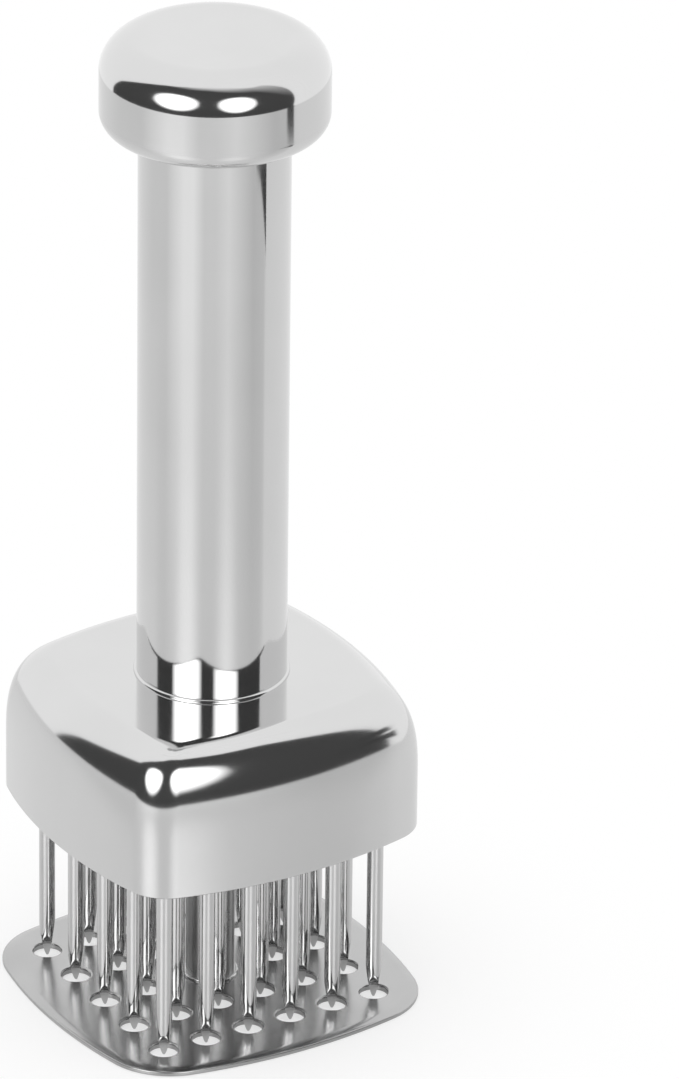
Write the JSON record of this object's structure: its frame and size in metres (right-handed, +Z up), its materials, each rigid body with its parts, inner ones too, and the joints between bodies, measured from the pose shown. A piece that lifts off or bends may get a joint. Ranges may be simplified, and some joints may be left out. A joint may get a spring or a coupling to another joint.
{
  "type": "needle meat tenderizer",
  "caption": "Hand-pressed steel meat tenderizer: a round knob and tube handle drive a sprung block of ground needles down through a perforated base plate.",
  "frame": {"origin": "middle of the base plate's underside, on the surface that the tool stands on", "axes": "+Z up the post and handle, X along the rows of six needles, Y along the rows of five"},
  "size_m": [0.0618, 0.0604, 0.1724],
  "materials": {
    "polished_steel": "mirror-polished stainless steel",
    "needle_steel": "drawn and polished stainless rod, ground at the point",
    "satin_plate": "rolled stainless sheet, satin",
    "turned_steel": "turned stainless steel",
    "spring_wire": "drawn spring wire"
  },
  "bodies": {
    "base": {"base_plate": "satin_plate", "centre_post": "polished_steel", "post_weld_bead": "polished_steel", "stop_washer": "turned_steel", "stop_nut": "turned_steel", "return_spring": "spring_wire"},
    "press_head": {"housing_shell": "polished_steel", "needle_carrier": "satin_plate", "backing_plate": "satin_plate", "guide_bush": "turned_steel", "tube_foot_plug": "turned_steel", "handle_tube": "polished_steel", "seam_bead": "polished_steel", "knob_cap": "polished_steel", "knob_floor": "polished_steel", "knob_plug": "turned_steel", "carrier_screw_1": "turned_steel", "carrier_screw_2": "turned_steel", "carrier_screw_3": "turned_steel", "carrier_screw_4": "turned_steel", "needle_1_1": "needle_steel", "needle_2_1": "needle_steel", "needle_3_1": "needle_steel", "needle_4_1": "needle_steel", "needle_5_1": "needle_steel", "needle_6_1": "needle_steel", "needle_1_2": "needle_steel", "needle_2_2": "needle_steel", "needle_3_2": "needle_steel", "needle_4_2": "needle_steel", "needle_5_2": "needle_steel", "needle_6_2": "needle_steel", "needle_1_3": "needle_steel", "needle_2_3": "needle_steel", "needle_5_3": "needle_steel", "needle_6_3": "needle_steel", "needle_1_4": "needle_steel", "needle_2_4": "needle_steel", "needle_3_4": "needle_steel", "needle_4_4": "needle_steel", "needle_5_4": "needle_steel", "needle_6_4": "needle_steel", "needle_1_5": "needle_steel", "needle_2_5": "needle_steel", "needle_3_5": "needle_steel", "needle_4_5": "needle_steel", "needle_5_5": "needle_steel", "needle_6_5": "needle_steel"}
  },
  "joints": [
    {"name": "press_slide", "type": "slide", "parent": "base", "child": "press_head", "axis": [0, 0, -1], "range_m": [0, 0.0305], "stiffness_N_per_m": 830, "springref_m": -0.015, "deforming": ["return_spring"]}
  ]
}
